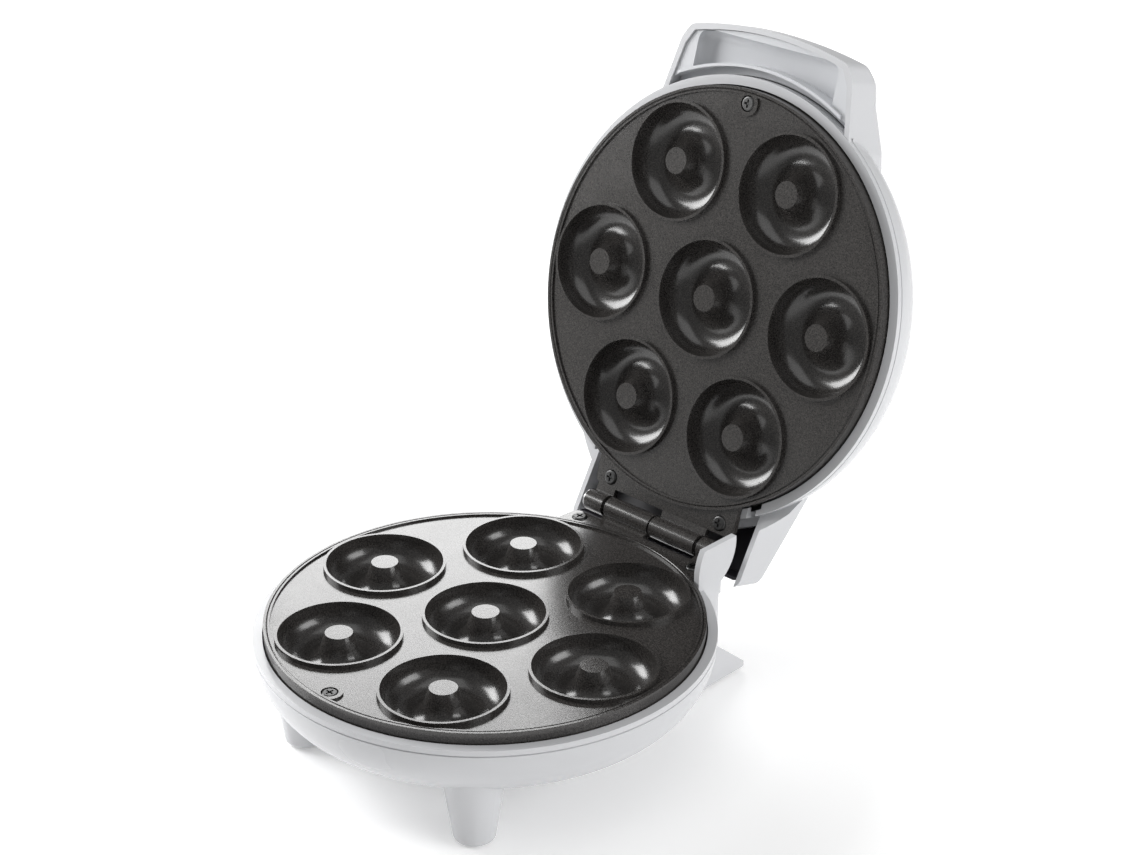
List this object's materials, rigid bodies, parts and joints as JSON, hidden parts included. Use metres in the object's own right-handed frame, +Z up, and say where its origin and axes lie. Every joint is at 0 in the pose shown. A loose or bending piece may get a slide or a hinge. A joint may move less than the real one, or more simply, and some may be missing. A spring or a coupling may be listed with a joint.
{
  "type": "donut maker",
  "caption": "Round electric donut maker with a hinged lid, ring-shaped non-stick moulds in both plates, a lift handle, short front legs and a rear stand.",
  "frame": {"origin": "on the surface it stands on, below the middle of its outline as it stands with the lid open", "axes": "+X to the right, +Y from the handle side to the hinge, +Z up"},
  "size_m": [0.206, 0.3102, 0.2889],
  "materials": {
    "housing_white": "smooth moulded gloss",
    "grip_white": "smooth moulded gloss",
    "liner_black": "matt moulded",
    "foot_rubber": "matt",
    "nonstick_plate": "cast, black non-stick coating, semi-gloss",
    "steel": "plated",
    "dark_screw": "blackened",
    "heater_tube": "heat-tinted",
    "shield_sheet": "bright mill finish",
    "gland_rubber": "matt",
    "terminal_plastic": "matt",
    "brass": "plain",
    "lead_sleeve": "glass-fibre sleeve",
    "red_lens": "clear tinted",
    "green_lens": "clear tinted",
    "lamp_glass": "clear"
  },
  "bodies": {
    "base": {"base_housing": "housing_white", "front_foot_pads": "foot_rubber", "rear_foot_pads": "foot_rubber", "lower_plate": "nonstick_plate", "lower_plate_screws": "dark_screw", "lower_heater": "heater_tube", "lower_heater_clamps": "steel", "lower_clamp_screws": "steel", "lower_heat_shield": "shield_sheet", "lower_shield_spacers": "steel", "lower_shield_screws": "steel", "hinge_pin": "steel", "hinge_pin_clips": "steel", "cord_gland": "gland_rubber", "terminal_block": "terminal_plastic", "terminal_screws": "brass", "lower_leads": "lead_sleeve"},
    "lid": {"lid_housing": "housing_white", "handle_grip": "grip_white", "tail_liner": "liner_black", "upper_plate": "nonstick_plate", "upper_plate_screws": "dark_screw", "upper_heater": "heater_tube", "upper_heater_clamps": "steel", "upper_clamp_screws": "steel", "upper_heat_shield": "shield_sheet", "upper_shield_spacers": "steel", "upper_shield_screws": "steel", "power_light_lens": "red_lens", "ready_light_lens": "green_lens", "indicator_lamps": "lamp_glass", "thermostat": "terminal_plastic", "thermal_fuse": "lead_sleeve", "fuse_clip": "steel", "upper_leads": "lead_sleeve"}
  },
  "joints": [
    {"name": "lid_hinge", "type": "hinge", "parent": "base", "child": "lid", "pos_m": [0, 0.05935, 0.0638], "axis": [1, 0, 0], "range_deg": [0, 106.2]}
  ]
}
